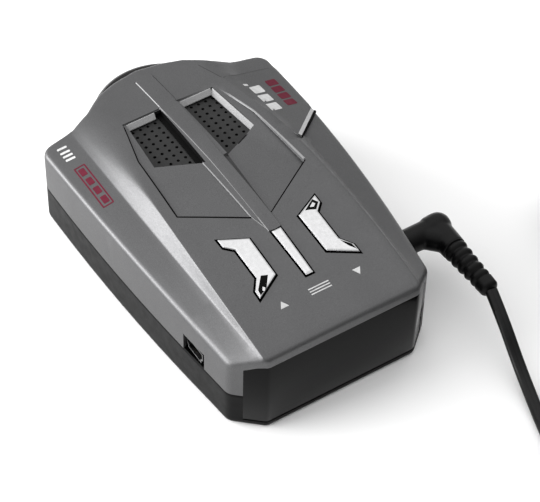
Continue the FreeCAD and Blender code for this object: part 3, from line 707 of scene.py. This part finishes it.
def upper_case():
    """Silver upper shell: triangulated roof with real panels, openings and a rounded edge."""
    edge = outline()
    rings = [offset(edge, -inset) for inset in EDGE_RINGS]
    inner = rings[-1]
    floors = [evenly(PANEL_FLOOR, 3.0), evenly(offset(LEFT_PANEL, -0.2), 3.0)]
    tops = [evenly(PANEL_TOP, 3.0), evenly(LEFT_PANEL, 3.0)]
    holes = [evenly(hole, 3.0) for hole in (GRILLE, mirrored(GRILLE), ARROW, mirrored(ARROW), MENU)]
    pads = [evenly(PAD, 2.0), evenly(offset(PAD, [0.1, 0.1, PAD_STEP, 0.1]), 2.0)]
    plan = RoofPlan()
    for loop in rings + floors + tops + holes:
        plan.line(loop, closed=True)
    plan.pad(pads, inner)
    plan.creases()
    plan.fill(inner, [inner] + floors + tops + holes + pads, list(zip(tops, floors)))
    shaper = roof_mesh(plan, edge, floors, holes)
    hang_sides(shaper, edge)
    mesh = bpy.data.meshes.new("upper_case")
    shaper.to_mesh(mesh)
    shaper.free()
    mesh.transform(Matrix.Scale(MM, 4))
    case = adopt("upper_case", mesh, "case", "silver_paint", ("top_shell",), 24.0)
    thicken(case, UPPER_WALL, 24.0)


def thicken(shell, wall, sharp):
    """Give an open skin its wall, inwards."""
    thick = shell.modifiers.new("wall", "SOLIDIFY")
    thick.thickness = wall * MM
    thick.offset = -1.0
    apply_modifiers(shell, sharp)


def window_top(x, y):
    """Top of the window: level across the front, lower where it wraps the corners."""
    return min(WINDOW_Z[1], roof(x, y) - WINDOW_BAND)


def wall_foot(x, y):
    """Lowest point of the side wall at a place on the outline, window aside."""
    if x < -SIDE_ZONE_X and abs(y - USB_Y) < USB_HALF:
        return USB_TOP
    if x > SIDE_ZONE_X and abs(y - JACK_Y) < JACK_HALF:
        return JACK_TOP
    return SEAM_Z + 0.05


def hang_sides(shaper, edge):
    """Side wall from the rounded edge down to the seam, with its openings left out."""
    for k, (ax, ay) in enumerate(edge):
        bx, by = edge[(k + 1) % len(edge)]
        if (ay + by) / 2 < FRONT_ZONE_Y and abs(ax + bx) / 2 < WINDOW_HALF:
            feet = [window_top(ax, ay) + 0.1, window_top(bx, by) + 0.1]
        else:
            feet = [wall_foot((ax + bx) / 2, (ay + by) / 2)] * 2
        wall = [(ax, ay, surface_height(ax, ay, 0.0, False)), (bx, by, surface_height(bx, by, 0.0, False)),
                (bx, by, feet[1]), (ax, ay, feet[0])]
        shaper.faces.new([shaper.verts.new(corner) for corner in wall])
    bmesh.ops.remove_doubles(shaper, verts=shaper.verts, dist=1e-3)


def lower_case():
    """Black lower shell: rounded foot, a small shadow gap at the seam."""
    edge = outline()
    levels = [(1.6, 0.0), (0.7, 0.25), (0.2, 0.75), (0.0, 1.5), (0.0, LIP_Z), (0.0, JACK_FOOT),
              (0.0, SEAM_Z - 0.45), (0.22, SEAM_Z - 0.05)]
    rings = [(offset(edge, -inset), z) for inset, z in levels]
    count = len(edge)
    verts = [(x, y, z) for ring, z in rings for x, y in ring]
    faces = [tuple(range(count))]
    for i in range(len(rings) - 1):
        for k in range(count):
            j = (k + 1) % count
            middle = Vector(edge[k]).lerp(Vector(edge[j]), 0.5)
            low = rings[i][1]
            in_window = middle.y < FRONT_ZONE_Y and abs(middle.x) < WINDOW_HALF and low >= LIP_Z
            in_jack = middle.x > SIDE_ZONE_X and abs(middle.y - JACK_Y) < JACK_HALF and low >= JACK_FOOT
            if in_window or in_jack:
                continue
            faces.append((i * count + k, i * count + j, (i + 1) * count + j, (i + 1) * count + k))
    shell = piece("lower_case", verts, faces, "case", "black_case", ("bottom_shell",), 35.0)
    thicken(shell, LOWER_WALL, 35.0)


def front_window():
    """Gloss black window that wraps both front corners; profile is inset, top or foot, rise."""
    edge = outline()
    profile = [(0.4, 0, 0.0), (0.16, 0, 0.1), (0.06, 0, 0.35), (0.06, 1, -0.35), (0.16, 1, -0.1),
               (0.4, 1, 0.0), (WINDOW_THICK, 1, 0.0), (WINDOW_THICK, 0, 0.0)]
    picked = [k for k, (x, y) in enumerate(edge) if y < FRONT_ZONE_Y and abs(x) < WINDOW_HALF + 0.01]
    picked.sort(key=lambda k: edge[k][0])
    rows = []
    for inset, at_top, rise in profile:
        ring = offset(edge, -inset)
        ends = [(WINDOW_Z[0], window_top(*edge[k]))[at_top] for k in picked]
        rows.append([(*ring[k], end + rise) for k, end in zip(picked, ends)])
    wide = len(picked)
    verts = [p for row in rows for p in row]
    faces = quads(len(rows), wide, rows_closed=True, around=False)
    faces.append(tuple(i * wide for i in range(len(rows))))
    faces.append(tuple(i * wide + wide - 1 for i in range(len(rows))))
    piece("front_window", verts, faces, "case", "window_black", ("display_window",), 40.0)


def trim(name, start, end, inward, colour, width=1.15, drop=1.25):
    """Slanted strip along one side of a grille opening; its colour is a painted highlight on the back strips
    and painted shade on the right side strip.
    """
    a, b, into = Vector(start), Vector(end), Vector(inward).normalized()
    verts = []
    for spot in (a, b):
        z = panel_floor(spot.x, spot.y)
        section = [(0.0, 0.02), (0.12, 0.05), (width, -drop), (width, -drop - 0.25), (0.0, -drop - 0.25)]
        for step, height in section:
            place = spot + into * step
            verts.append((place.x, place.y, z + height))
    faces = [(k, (k + 1) % 5, 5 + (k + 1) % 5, 5 + k) for k in range(5)] + [(0, 1, 2, 3, 4), (5, 6, 7, 8, 9)]
    piece(name, verts, faces, "case", "silver_paint", (), 20.0, colour)


def grille_trims():
    # Painted highlight on the two back strips, painted shade on the right side strip.
    trim("right_trim_back", (3.0, 31.2), (12.7, 31.2), (0.0, -1.0), "painted_highlight_silver")
    trim("right_trim_side", (13.35, 30.9), (15.3, 13.0), (-0.995, -0.1), "painted_shade_silver")
    trim("left_trim_back", (-13.3, 31.2), (-4.8, 31.2), (0.0, -1.0), "painted_highlight_silver")


def grille_shade_strip():
    """Painted shade: a black strip between the left grille and the spine, where the channel lies in shade."""
    left, right = [], []
    for y in grid(2.5, 7.4, 31.2):
        share = (y - 7.4) / 23.8
        z = roof(-4.0, y) - ROOF + 0.3
        left.append((-4.7 + 0.7 * share, y, z))
        right.append((-2.8, y, z + 0.2))
    ribbon("grille_shade_strip", left, right, "painted_shade_black")


def collar(name, hole, outer, inner, top, bottom, colour):
    """Closed ring that lines an opening; top and bottom are measured down from the surface."""
    rings = [(offset(hole, outer), top), (offset(hole, inner), top), (offset(hole, inner), bottom),
             (offset(hole, outer), bottom)]
    count = len(hole)
    verts = [(x, y, roof(x, y) - drop) for ring, drop in rings for x, y in ring]
    faces = quads(4, count, rows_closed=True)
    piece(name, verts, faces, "case", "black_case", (), 30.0, colour)


def collars():
    collar("left_grille_well", mirrored(GRILLE), 0.3, -0.05, LEFT_PANEL_DEPTH + 0.06, ROOF, "black_case")
    collar("right_grille_well", GRILLE, 0.3, -0.05, 1.3, ROOF, "black_case")
    # Painted shade: black lining in the gap round each button.
    for name, hole in (("up", mirrored(ARROW)), ("down", ARROW), ("menu", MENU)):
        collar(name + "_button_gap_shade", hole, 0.42, -0.08, 0.04, ROOF, "painted_shade_black")


def ribbon(name, left, right, colour, depth=0.3):
    """Thin closed band between two lines of points."""
    verts, faces = [], quads(len(left), 4)
    for a, b in zip(left, right):
        verts += [a, b, (b[0], b[1], b[2] - depth), (a[0], a[1], a[2] - depth)]
    last = 4 * len(left) - 4
    faces += [(0, 1, 2, 3), (last, last + 1, last + 2, last + 3)]
    piece(name, verts, faces, "case", "silver_paint", (), 30.0, colour)


def fine_line(name, route, widths, height, colour, lift=0.02):
    """Narrow line that follows the surface; widths are at its start and end."""
    spots = []
    for a, b in zip(route, route[1:]):
        a, b = Vector(a), Vector(b)
        pieces = max(1, math.ceil((b - a).length / 2.0))
        spots += [a.lerp(b, k / pieces) for k in range(pieces)]
    spots.append(Vector(route[-1]))
    left, right = [], []
    for k, spot in enumerate(spots):
        along = (spots[min(k + 1, len(spots) - 1)] - spots[max(k - 1, 0)]).normalized()
        half = (widths[0] + (widths[1] - widths[0]) * k / (len(spots) - 1)) / 2
        across = Vector((-along.y, along.x)) * half
        for line, spot_side in ((left, spot + across), (right, spot - across)):
            line.append((spot_side.x, spot_side.y, height(spot_side.x, spot_side.y) + lift))
    ribbon(name, left, right, colour, 0.15)


def panel_lines():
    """Painted highlights along the bevels and painted shade along the grooves round the spine and the two
    panels.
    """
    proud = SPINE_PROUD - 0.02
    # Painted highlights along the bevelled edges, painted shade along the grooves.
    fine_line("spine_back_bevel_highlight", [(-2.6, 44.5), (-2.6, 32.0)], (0.2, 0.2), roof, "painted_highlight_silver", proud)
    fine_line("spine_bevel_highlight", [(-2.6, 32.0), (-2.0, 7.0), (-1.9, -21.0)], (0.2, 0.2), roof, "painted_soft_highlight", proud)
    fine_line("spine_groove_shade", [(2.6, 44.5), (2.55, 32.0)], (0.25, 0.25), roof, "painted_shade_black", 0.03)
    ledge = [(-4.0, 6.5), (-3.2, -15.2), (-2.0, -20.0)]
    fine_line("left_panel_bevel_highlight", ledge, (0.22, 0.16), roof, "painted_soft_highlight")
    outer = [(-14.3, 30.5), (-17.8, 17.0), (-19.3, -5.2), (-3.3, -15.3)]
    fine_line("left_panel_groove_shade", outer, (0.3, 0.5), roof, "painted_shade_black")
    ridge = [(15.6, 26.5), (17.75, 17.0), (19.35, -5.0)]
    fine_line("right_panel_bevel_highlight", ridge, (0.1, 0.6), roof, "painted_soft_highlight", 0.03)
    fine_line("right_panel_groove_shade", [(19.35, -5.5), (2.0, -16.3)], (0.36, 0.3), roof, "painted_shade_black")


def pad_details():
    """Slanted front step of the pad, in painted highlight, with a strip of painted shade along its foot, and
    painted shade lines along the creases at its back.
    """
    across = Vector((PAD[2][0] - PAD[3][0], PAD[2][1] - PAD[3][1])).normalized()
    out = Vector((across.y, -across.x))
    rows = [[], [], [], []]
    for share in grid(0.12, 0.03, 0.86):
        spot = Vector(PAD[3]).lerp(Vector(PAD[2]), share)
        top = max(pad_height(spot.x, spot.y), roof(spot.x, spot.y)) + 0.03
        shade_width = 0.25 + 0.45 * share
        for row, (reach, drop) in zip(rows, ((0.0, 0.0), (0.95, 0.45), (0.95, 0.42), (0.95 + shade_width, 0.5))):
            place = spot + out * reach
            row.append((place.x, place.y, top - drop))
    # Painted highlight on the face of the step, painted shade in a strip along its foot.
    ribbon("pad_step_highlight", rows[0], rows[1], "painted_highlight_silver", 0.8)
    ribbon("pad_gap_shade", rows[2], rows[3], "painted_shade_black", 0.8)
    # Painted shade lines along the creases behind the pad.
    fine_line("pad_crease_shade", [(18.0, 33.0), (32.5, 33.1)], (0.2, 0.2), pad_top, "painted_crease_shade", 0.03)
    fine_line("hump_crease_shade", [(15.2, 41.5), (17.6, 33.3)], (0.16, 0.2), roof, "painted_crease_shade")


# ---------------------------------------------------------------- buttons
def button_cap(name, loop, patches, body):
    """Plated cap with a bevelled crest; patches are its flat facets, as corner numbers."""
    rings = [(offset(loop, -0.5), -1.2), (offset(loop, -0.5), BUTTON_PROUD - 0.35),
             (offset(loop, -0.62), BUTTON_PROUD - 0.1), (offset(loop, -0.95), BUTTON_PROUD)]
    count = len(loop)
    verts, faces = [], quads(len(rings), count)
    for ring, rise in rings:
        verts += [(x, y, roof(x, y) + rise) for x, y in ring]
    faces.append(tuple(range(count)))
    top = (len(rings) - 1) * count
    faces += [tuple(top + k for k in patch) for patch in patches]
    piece(name, verts, faces, body, "chrome_plate", (body,), 12.0)


def button_caps():
    count = len(ARROW)
    patches = [(0, 3, 4, 7), (0, 1, 2, 3), (4, 5, 6, 7)]
    flipped = [tuple(count - 1 - k for k in reversed(patch)) for patch in patches]
    button_cap("down_cap", ARROW, patches, "down_button")
    button_cap("up_cap", mirrored(ARROW), flipped, "up_button")
    button_cap("menu_cap", MENU, [(0, 1, 2, 3)], "menu_button")


def on_cap(x, y):
    return roof(x, y) + BUTTON_PROUD


def cap_painted_reflections():
    """Painted dark reflections on the arms of the two arrow caps, with small chrome patches on top as painted
    glints.
    """
    front_arm = [(-11.2, -32.3), (-9.5, -33.0), (-11.8, -36.0), (-14.3, -37.3), (-14.1, -35.7)]
    back_arm = [(9.6, -20.5), (13.2, -18.3), (14.1, -19.8), (12.3, -21.6), (10.9, -20.9)]
    thin_arm = [(12.3, -32.9), (14.2, -35.1), (14.5, -37.0), (13.3, -35.3)]
    # Painted dark reflections on the arms of the arrow caps.
    mark("up_painted_reflection", [front_arm], on_cap, "painted_shade_black", "up_button")
    mark("down_painted_reflections", [back_arm, thin_arm], on_cap, "painted_shade_black", "down_button")

    def above(x, y):
        return on_cap(x, y) + 0.03

    # Chrome patches over the painted dark reflections, as painted glints.
    mark("down_painted_glint", [[(11.2, -20.2), (12.7, -19.2), (13.1, -19.9), (12.2, -20.6)]], above,
         "chrome_plate", "down_button")
    mark("up_painted_glint", [[(-13.2, -36.3), (-12.6, -35.4), (-12.1, -35.9), (-12.9, -36.8)]], above,
         "chrome_plate", "up_button")


# ---------------------------------------------------------------- printed marks
def mark(name, loops, lift, colour, body="case"):
    """Thin shapes that follow a surface."""
    verts, faces = [], []
    for loop in loops:
        loop = evenly(loop, 2.0)
        count = len(loop)
        first = len(verts)
        middle_x = sum(p[0] for p in loop) / count
        middle_y = sum(p[1] for p in loop) / count
        for x, y in loop:
            verts.append((x, y, lift(x, y) - 0.05))
            verts.append((x, y, lift(x, y) + 0.035))
        verts.append((middle_x, middle_y, lift(middle_x, middle_y) + 0.035))
        verts.append((middle_x, middle_y, lift(middle_x, middle_y) - 0.05))
        for k in range(count):
            a, b = first + 2 * k, first + 2 * ((k + 1) % count)
            faces += [(a, b, b + 1, a + 1), (a + 1, b + 1, first + 2 * count), (b, a, first + 2 * count + 1)]
    slot = "silver_paint" if body == "case" else "chrome_plate"
    piece(name, verts, faces, body, slot, (), 30.0, colour)


def bar(x, y, width, height, turn=0.0, radius=0.0):
    """Turned rectangle with rounded corners."""
    corners = [(-width / 2, -height / 2), (width / 2, -height / 2), (width / 2, height / 2),
               (-width / 2, height / 2)]
    rotation = Matrix.Rotation(math.radians(turn), 2)
    placed = []
    for corner in corners:
        spot = rotation @ Vector(corner) + Vector((x, y))
        placed.append((spot.x, spot.y, radius))
    return rounded(placed, 30.0)


def marks():
    """Plain bars and arrow heads where the unit carries its printing."""
    arrow_up = [(-11.9, -42.9), (-9.5, -42.9), (-10.7, -40.9)]
    arrow_down = [(12.5, -41.6), (11.3, -43.6), (10.1, -41.6)]
    lines = [bar(0.1, -42.2 + 0.8 * k, 6.0, 0.32) for k in (-1, 0, 1)]
    mark("button_marks", [arrow_up, arrow_down] + lines, roof, "mark_white")
    strokes = [bar(-30.1, y, 2.7, 0.75, -6.0, 0.2) for y in (36.4, 34.6, 33.1, 31.6)]
    mark("wing_mark_white", strokes, roof, "mark_white")
    frame_bars = [bar(-31.3, 19.6, 0.4, 16.0, -1.0, 0.15), bar(-28.4, 19.6, 0.4, 16.0, -1.0, 0.15),
                  bar(-29.7, 27.6, 3.2, 0.4, -1.0, 0.15), bar(-30.0, 11.6, 3.2, 0.4, -1.0, 0.15)]
    blocks = [bar(-29.85, 25.4 - 3.87 * k, 1.7, 2.7, -1.0, 0.3) for k in range(4)]
    mark("wing_mark_red", frame_bars + blocks, roof, "mark_red")
    tiles = [bar(24.0, 25.3 - 4.2 * k, 3.5, 3.2, 4.0, 0.4) for k in range(3)]
    mark("pad_mark_white", tiles + [bar(22.0, 28.0, 1.4, 1.0, 4.0, 0.3)], pad_top, "mark_white")
    tiles = [bar(29.7, 26.9 - 3.1 * k, 3.3, 2.5, 4.0, 0.4) for k in range(4)]
    mark("pad_mark_red", tiles, pad_top, "mark_red")


# ---------------------------------------------------------------- power plug and lead
def melted(name, solids, body, slot, replaces, voxel_mm, passes):
    """One smooth skin over several overlapping closed shapes."""
    verts, faces = [], []
    for solid_verts, solid_faces in solids:
        first = len(verts)
        verts += solid_verts
        faces += [tuple(k + first for k in face) for face in solid_faces]
    skin = piece(name, verts, faces, body, slot, replaces, 180.0)
    remesh = skin.modifiers.new("skin", "REMESH")
    remesh.mode = "VOXEL"
    remesh.voxel_size = voxel_mm * MM
    smooth = skin.modifiers.new("relax", "SMOOTH")
    smooth.factor = 0.5
    smooth.iterations = passes
    apply_modifiers(skin)
    skin.data.shade_smooth()
    return skin


def plug_body():
    """Right-angle plug: barrel, rounded knee and arm."""
    barrel_path = [Vector((x, JACK_Y, PLUG_Z)) for x in (PLUG_FACE_X, 36.0, 40.0, ELBOW_X)]
    arm_path = [Vector((ELBOW_X, y, PLUG_Z)) for y in (JACK_Y, -34.0, -37.0, RELIEF_Y[0] - 0.2)]
    fillet_path = [Vector((ELBOW_X - 4.0, JACK_Y - 1.0, PLUG_Z)), Vector((ELBOW_X - 1.0, JACK_Y - 4.0, PLUG_Z))]
    knee_path = [Vector((ELBOW_X + t, JACK_Y + 0.3, PLUG_Z)) for t in (-2.6, -1.0, 0.6, 2.0, 3.1, 3.9, 4.3)]
    knee_sizes = (3.7, 3.85, 3.95, 3.75, 3.1, 2.2, 1.0)
    solids = [sweep(barrel_path, [circle(PLUG_R)] * 4),
              sweep(arm_path, [circle(r) for r in (3.65, 3.62, 3.55, 3.45)]),
              sweep(fillet_path, [circle(3.4)] * 2),
              sweep(knee_path, [circle(r) for r in knee_sizes])]
    return melted("plug_elbow", solids, "power_lead", "plug_black", ("dc_plug_body",), 0.3, 9)


def ribbed_relief():
    """Tapered relief with rounded ribs and a thicker end collar."""
    start, end = RELIEF_Y
    length = start - end
    ribs = 5
    path, profiles = [], []
    steps = 72
    for k in range(steps + 1):
        t = k / steps
        taper = 3.45 + (2.55 - 3.45) * t
        wave = 0.5 - 0.5 * math.cos(2 * math.pi * ribs * t / 0.78)
        groove = 0.62 * (1 - wave ** 0.6) if 0.02 < t < 0.78 else 0.0
        radius = taper - groove
        if t > 0.93:
            radius *= math.sqrt(max(1 - ((t - 0.93) / 0.085) ** 2, 0.3))
        path.append(Vector((ELBOW_X, start - length * t, PLUG_Z)))
        profiles.append(circle(radius, 32))
    verts, faces = sweep(path, profiles)
    return piece("plug_ribs", verts, faces, "power_lead", "plug_rubber", ("dc_plug_relief",), 50.0)


def coil_turns():
    """Route points of the coil: layers of three turns, wound in and out."""
    points = []
    turns = COIL_SWEEP / 360.0
    layer = len(COIL_RADII)
    total = int(turns * COIL_STEPS)
    for k in range(total + 1):
        turn = k / COIL_STEPS
        this, part = int(turn), turn - int(turn)
        shift = ease((part - 0.7) / 0.3)

        def spot(index):
            level, step = divmod(index, layer)
            order = COIL_RADII if level % 2 == 0 else COIL_RADII[::-1]
            return order[step], COIL_BASE + CORD * level

        (r0, z0), (r1, z1) = spot(this), spot(min(this + 1, COIL_LAYERS * layer - 1))
        radius, z = r0 + (r1 - r0) * shift, z0 + (z1 - z0) * shift
        angle = math.radians(COIL_START + 360.0 * turn)
        points.append((COIL_CENTRE[0] + radius * math.cos(angle), COIL_CENTRE[1] + radius * math.sin(angle), z))
    return points


def route_line(route):
    """Points along the NURBS spline that has the route as its control points."""
    curve = bpy.data.curves.new("route", "CURVE")
    curve.dimensions = "3D"
    curve.resolution_u = 8
    spline = curve.splines.new("NURBS")
    spline.points.add(len(route) - 1)
    for point, place in zip(spline.points, route):
        point.co = (*[value * MM for value in place], 1.0)
    spline.order_u = 3
    spline.use_endpoint_u = True
    holder = bpy.data.objects.new("route", curve)
    line = bpy.data.meshes.new_from_object(holder)
    path = [v.co.copy() for v in line.vertices]
    bpy.data.objects.remove(holder)
    bpy.data.curves.remove(curve)
    return path


def twin_profile():
    """Two round lobes side by side, as on flat twin flex."""
    lobe, apart, count = 1.16, 0.56, 14
    right = []
    for k in range(count + 1):
        angle = math.radians(-118.0 + 236.0 * k / count)
        right.append((apart + lobe * math.cos(angle), lobe * math.sin(angle)))
    return right + [(-x, y) for x, y in reversed(right)]


def lead():
    path = route_line(LEAD_ROUTE + coil_turns() + TAIL_ROUTE)
    scaled = [point / MM for point in path]
    profile = twin_profile()
    verts, faces = sweep(scaled, [profile] * len(scaled))
    cord = piece("power_cord", verts, faces, "power_lead", "cord_black",
                 ("lead_cord", "lead_coil", "lead_tail"), 60.0)


# ---------------------------------------------------------------- CAD nodes that stay
def dress_nodes():
    """Give every CAD node that stays in view its procedural finish."""
    slots = {part["node"]: part["material_slot"] for part in frame["record"]["subparts"]}
    for name, node in frame["nodes"].items():
        node.data.materials.clear()
        node.data.materials.append(MATERIALS[slots[name]])


# ---------------------------------------------------------------- stage
def stage():
    mesh = bpy.data.meshes.new("floor")
    half = 3.0
    corners = [(-half, -half, 0), (half, -half, 0), (half, half, 0), (-half, half, 0)]
    mesh.from_pydata(corners, [], [(0, 1, 2, 3)])
    floor = bpy.data.objects.new("floor", mesh)
    bpy.context.scene.collection.objects.link(floor)
    finish = Finish("floor_white")
    finish.colour(finish.ramp(finish.noise(300.0, 2.0), 0.97, 0.99))
    finish.set(Roughness=0.9, Specular_IOR_Level=0.1)
    mesh.materials.append(finish.material)


def light(name, place, target, size, power):
    data = bpy.data.lights.new(name, "AREA")
    data.shape = "RECTANGLE"
    data.size, data.size_y = size
    data.energy = power
    thing = bpy.data.objects.new(name, data)
    bpy.context.scene.collection.objects.link(thing)
    aim = Vector(target) - Vector(place)
    thing.matrix_world = Matrix.Translation(Vector(place)) @ aim.to_track_quat("-Z", "Y").to_matrix().to_4x4()


def lights():
    """Bright above, darker towards the horizon and the front, with one softbox at the back left."""
    world = bpy.data.worlds.new("studio")
    world.use_nodes = True
    nodes, links = world.node_tree.nodes, world.node_tree.links
    place = nodes.new("ShaderNodeTexCoord")
    split = nodes.new("ShaderNodeSeparateXYZ")
    links.new(place.outputs["Generated"], split.inputs["Vector"])
    total = nodes.new("ShaderNodeMath")
    total.operation = "MULTIPLY"
    for slot, axis, values in ((0, "Z", (0.25, 0.95, 0.7, 1.8)), (1, "Y", (-0.7, 0.25, 0.35, 1.0))):
        fade = nodes.new("ShaderNodeMapRange")
        for key, value in zip(("From Min", "From Max", "To Min", "To Max"), values):
            fade.inputs[key].default_value = value
        links.new(split.outputs[axis], fade.inputs["Value"])
        links.new(fade.outputs["Result"], total.inputs[slot])
    links.new(total.outputs["Value"], nodes["Background"].inputs["Strength"])
    nodes["Background"].inputs["Color"].default_value = (1, 1, 1, 1)
    bpy.context.scene.world = world
    light("left_softbox", (-1.0, 0.65, 0.36), (0, 0, 0.02), (1.3, 0.6), 34.0)
    bpy.context.scene.view_settings.view_transform = "Standard"


# ---------------------------------------------------------------- assembly
MATERIALS = make_materials()
make_camera()
dress_nodes()
ELBOW = plug_body()
RIBS = ribbed_relief()
lead()
upper_case()
lower_case()
front_window()
grille_trims()
grille_shade_strip()
collars()
panel_lines()
pad_details()
button_caps()
cap_painted_reflections()
marks()
stage()
lights()
